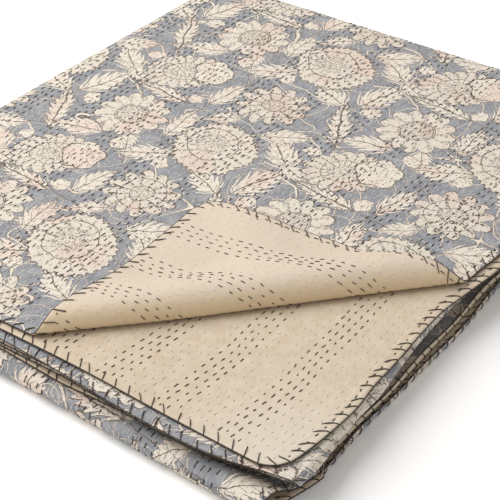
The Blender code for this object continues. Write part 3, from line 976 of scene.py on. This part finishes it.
def scatter(name, stitch, places, turns, sizes):
    # a copy of the stitch at each place, made one mesh by Geometry Nodes
    model = linked(name + "Stitch", stitch)
    points = bpy.data.meshes.new(name + "Places")
    points.from_pydata(places.tolist(), [], [])
    points.attributes.new("turn", "FLOAT", "POINT").data.foreach_set("value", turns)
    points.attributes.new("size", "FLOAT_VECTOR", "POINT").data.foreach_set("vector", sizes.ravel())
    holder = linked(name + "Places", points)
    tree = bpy.data.node_groups.new(name, "GeometryNodeTree")
    tree.interface.new_socket("Places", in_out="INPUT", socket_type="NodeSocketGeometry")
    tree.interface.new_socket("Stitches", in_out="OUTPUT", socket_type="NodeSocketGeometry")
    kinds = {
        "places": "NodeGroupInput", "points": "GeometryNodeMeshToPoints", "model": "GeometryNodeObjectInfo",
        "turn": "GeometryNodeInputNamedAttribute", "size": "GeometryNodeInputNamedAttribute",
        "turns": "ShaderNodeCombineXYZ", "copies": "GeometryNodeInstanceOnPoints",
        "one": "GeometryNodeRealizeInstances", "stitches": "NodeGroupOutput",
    }
    nodes = {kind: tree.nodes.new(made) for kind, made in kinds.items()}
    nodes["model"].inputs["Object"].default_value = model
    for kind, held in (("turn", "FLOAT"), ("size", "FLOAT_VECTOR")):
        nodes[kind].data_type = held
        nodes[kind].inputs["Name"].default_value = kind
    for start, output, end, entry in (
        ("places", 0, "points", "Mesh"),
        ("points", "Points", "copies", "Points"),
        ("model", "Geometry", "copies", "Instance"),
        ("turn", "Attribute", "turns", "Z"),
        ("turns", "Vector", "copies", "Rotation"),
        ("size", "Attribute", "copies", "Scale"),
        ("copies", "Instances", "one", "Geometry"),
        ("one", "Geometry", "stitches", 0),
    ):
        tree.links.new(nodes[start].outputs[output], nodes[end].inputs[entry])
    holder.modifiers.new("stitches", "NODES").node_group = tree
    graph = bpy.context.evaluated_depsgraph_get()
    mesh = bpy.data.meshes.new_from_object(holder.evaluated_get(graph))
    for helper in (holder, model):
        bpy.data.objects.remove(helper)
    mesh.name = name
    return mesh


def foldMesh(mesh):
    # carry a mesh that lies flat in u, v and height into the folded pile
    flat = np.empty(3 * len(mesh.vertices))
    mesh.vertices.foreach_get("co", flat)
    mesh.vertices.foreach_set("co", foldPoints(flat.reshape(-1, 3)).ravel())
    mesh.flip_normals()
    mesh.update()
    return mesh


def rowPlaces(dark):
    # the middle of each running stitch that shows, with the side it is on
    chance = np.random.default_rng(running["seed"] + dark)
    phases = chance.random(running["mostRows"])
    found = []
    for side, fromU, toU, fromV, toV in shown:
        first = math.ceil((fromU - firstRow) / rows["pitch"])
        last = math.floor((toU - firstRow) / rows["pitch"])
        for row in range(first, last + 1):
            if (row % rows["period"] < rows["dark"]) != dark:
                continue
            shift = phases[row] + (0 if side > 0 else 0.5)
            numbers = np.arange(math.ceil(fromV / running["pitch"] - shift), toV / running["pitch"] - shift)
            along = (numbers + shift) * running["pitch"] + chance.normal(0, running["stray"], len(numbers))
            wobble = running["wobble"] * np.sin(along / running["wobbleLength"] + 2 * row)
            across = firstRow + row * rows["pitch"] + wobble
            found.append(np.stack([across, along, np.full(len(along), side)], axis=1))
    places = np.concatenate(found)
    inside = edgeDistance(places[:, 0], places[:, 1]) > running["clear"]
    return places[inside], chance


def sewRows(name, dark, material):
    length, radius = running["dark" if dark else "pale"]
    tube = threadTube(radius, -length / 2, length / 2, running["bends"])
    for vert in tube.verts:
        if abs(vert.co.y) > 0.45 * length:  # its ends
            vert.co.z -= radius * (1 + running["sink"])
    places, chance = rowPlaces(dark)
    side = places[:, 2].copy()
    surface = cloth["apart"] + clothHeight(places[:, 0], places[:, 1])
    places[:, 2] = side * (surface + running["rise"] * radius)
    sizes = np.ones((len(places), 3))
    sizes[:, 1] = chance.uniform(*running["sizes"], len(places))
    sizes[side < 0, 1] *= chance.choice(running["backSizes"], (side < 0).sum())
    sizes[:, 2] = side
    turns = chance.normal(0, running["turn"], len(places))
    stitches = scatter(name, meshFrom(name + "Stitch", tube), places, turns, sizes)
    print(name, len(places), "stitches")
    return finished(name, foldMesh(stitches), material)


darkRows = sewRows("darkRunningStitch", True, darkThread)
paleRows = sewRows("paleRunningStitch", False, paleThread)

# Blanket stitch round the whole edge
blanket = {
    "pitch": 11.8 * mm,
    "radius": 0.48 * mm,
    # mm in from the edge, and mm over the quilt's middle
    "path": ((-0.45, 0.15), (0.5, 0.95), (1.6, 1.4), (3.4, 1.52), (5.4, 1.5), (7.4, 1.4), (9.2, 0.9)),
    "frontLean": 0.62,
    "sideLean": 0.45,
    "frontBend": 0.1,
    "sideBend": 0.4,
    "stray": 0.08,  # in pitches
    "sizes": (0.85, 1.12),
    "turn": 0.14,
    "rimRadius": 0.504 * mm,
    "rimOut": 0.25 * mm,
    "rimShare": 0.9999,  # of the way round, so that its ends don't touch
    "seed": 11,
}


def alongEdge(travel, inside):
    # u and v of a point this far round the quilt's edge and this far inside it
    radius = pile["cornerRadius"]
    corners = ((radius, 0), (uEnd, radius), (uEnd - radius, vEnd), (0, vEnd - radius))
    sides = zip((uEnd, vEnd, uEnd, vEnd), corners, ((1, 0), (0, 1), (-1, 0), (0, -1)))
    arc = math.pi / 2 * radius
    u, v = np.zeros_like(travel), np.zeros_like(travel)
    start = 0.0
    for size, corner, way in sides:
        straight = size - 2 * radius
        inward = (-way[1], way[0])
        here = (travel >= start) & (travel < start + straight)
        past = travel - start
        u = np.where(here, corner[0] + way[0] * past + inward[0] * inside, u)
        v = np.where(here, corner[1] + way[1] * past + inward[1] * inside, v)
        start += straight
        turning = (travel >= start) & (travel < start + arc)
        angle = (travel - start) / radius
        centre = [at + along * straight + across * radius for at, along, across in zip(corner, way, inward)]
        out = [along * np.sin(angle) - across * np.cos(angle) for along, across in zip(way, inward)]
        u = np.where(turning, centre[0] + out[0] * (radius - inside), u)
        v = np.where(turning, centre[1] + out[1] * (radius - inside), v)
        start += arc
    return u, v


def alongSides(travel):
    # whether this far round is on one of the long sides
    half = uEnd + vEnd - (4 - math.pi) * pile["cornerRadius"]
    return travel % half > uEnd - pile["cornerRadius"]


def blanketSpike(name):
    # one stitch: a thread on each side of the quilt, which follows the path
    path = np.array(blanket["path"]) * mm
    shares = (path[1:-1, 0] - path[0, 0]) / (path[-1, 0] - path[0, 0])
    whole = bmesh.new()
    for side in (1, -1):
        spike = threadTube(blanket["radius"], path[0, 0], path[-1, 0], shares)
        for vert in spike.verts:
            vert.co.z = side * (vert.co.z + float(np.interp(vert.co.y, path[:, 0], path[:, 1])))
        if side < 0:
            bmesh.ops.reverse_faces(spike, faces=spike.faces[:])
        part = meshFrom("part", spike)
        whole.from_mesh(part)
        bpy.data.meshes.remove(part)
    return meshFrom(name + "Stitch", whole)


def sewEdge(name, material):
    perimeter = 2 * (uEnd + vEnd) - (8 - 2 * math.pi) * pile["cornerRadius"]
    count = round(perimeter / blanket["pitch"])
    pitch = perimeter / count
    chance = np.random.default_rng(blanket["seed"])
    places = np.zeros((count, 3))
    places[:, 0] = (np.arange(count) + 0.5) * pitch + chance.normal(0, blanket["stray"] * pitch, count)
    sizes = np.ones((count, 3))
    sizes[:, 1] = chance.uniform(*blanket["sizes"], count)
    onSides = alongSides(places[:, 0])
    lean = np.where(onSides, blanket["sideLean"], blanket["frontLean"])
    acrossQuilt = alongEdge(places[:, 0], 0.0)[0]
    turnedOver = ~onSides & (acrossQuilt > uSecond) & (acrossQuilt < uRight)  # the third that is folded under
    turns = chance.normal(0, blanket["turn"], count) + np.where(turnedOver, -lean, lean)
    mesh = scatter(name, blanketSpike(name), places, turns, sizes)
    spikes = np.empty(3 * len(mesh.vertices))
    mesh.vertices.foreach_get("co", spikes)
    spikes = spikes.reshape(-1, 3)
    bend = np.where(alongSides(spikes[:, 0]), blanket["sideBend"], blanket["frontBend"])
    spikes[:, 0] -= bend * np.maximum(spikes[:, 1], 0) ** 2 / (blanket["path"][-1][0] * mm)
    u, v = alongEdge(spikes[:, 0] % perimeter, spikes[:, 1])
    mesh.vertices.foreach_set("co", np.stack([u, v, spikes[:, 2]], axis=1).ravel())

    # the thread that runs along the rim from stitch to stitch
    thirds = np.linspace(0, 1, 3 * count + 1)[1:-1]
    rim = threadTube(blanket["rimRadius"], 0, perimeter * blanket["rimShare"], thirds)
    for vert in rim.verts:
        u, v = alongEdge(np.array([vert.co.y]) % perimeter, np.array([vert.co.x - blanket["rimOut"]]))
        vert.co = (u[0], v[0], vert.co.z)
    bmesh.ops.reverse_faces(rim, faces=rim.faces[:])
    rim.from_mesh(mesh)
    rim.to_mesh(mesh)
    rim.free()
    print(name, len(mesh.polygons), "faces")
    return finished(name, foldMesh(mesh), material)


edgeStitch = sewEdge("blanketStitch", darkThread)

# The camera, measured from the second ply's sharp near corner
camera = {
    "azimuth": 39.12,
    "elevation": 35.42,
    "roll": -2.02,
    "from": (0.440, -0.563, 0.691),  # that corner, in m
    "lens": 105.9,
    "sensor": 36,
}


def placeCamera():
    azimuth, elevation, turn = (math.radians(camera[name]) for name in ("azimuth", "elevation", "roll"))
    level = math.cos(elevation)
    back = Vector((math.sin(azimuth) * level, -math.cos(azimuth) * level, math.sin(elevation)))
    right = Vector((0, 0, 1)).cross(back).normalized()
    up = back.cross(right)
    across = math.cos(turn) * right + math.sin(turn) * up
    rise = -math.sin(turn) * right + math.cos(turn) * up
    lens = bpy.data.cameras.new("camera")
    lens.lens, lens.sensor_width = camera["lens"], camera["sensor"]
    place = linked("camera", lens)
    corner = Vector((pile["sideRight"], pile["sideFront"], (pile["plies"] - 1) * pile["pitch"]))
    matrix = Matrix((across, rise, back)).transposed().to_4x4()
    matrix.translation = corner + Vector(camera["from"])
    place.matrix_world = matrix
    bpy.context.scene.camera = place


placeCamera()

# Floor and soft studio light
studio = {
    "floorSize": 6.0,
    "floorColour": (0.97, 0.97, 0.97, 1),
    "floorRoughness": 0.95,
    "world": (1.0, 0.975, 0.94, 1),
    "worldStrength": 0.58,
    "keyPlace": (-1.45, -0.55, 1.9),
    "keySize": 2.6,
    "keyPower": 62,
}


def makeStudio():
    floor = bmesh.new()
    bmesh.ops.create_grid(floor, x_segments=1, y_segments=1, size=studio["floorSize"])
    material, _, shader = newMaterial("floorPaper", studio["floorRoughness"])
    shader.inputs["Base Color"].default_value = studio["floorColour"]
    ground = linked("floor", meshFrom("floor", floor))
    ground.data.materials.append(material)
    world = bpy.data.worlds.new("studio")
    world.use_nodes = True
    backdrop = world.node_tree.nodes["Background"]
    backdrop.inputs["Color"].default_value = studio["world"]
    backdrop.inputs["Strength"].default_value = studio["worldStrength"]
    bpy.context.scene.world = world
    light = bpy.data.lights.new("key", "AREA")
    light.shape, light.size, light.energy = "DISK", studio["keySize"], studio["keyPower"]
    key = linked("key", light)
    key.location = studio["keyPlace"]
    key.rotation_euler = (-Vector(studio["keyPlace"])).to_track_quat("-Z", "Y").to_euler()


makeStudio()
bpy.context.scene.view_settings.view_transform = "Standard"
print("camera and studio placed")
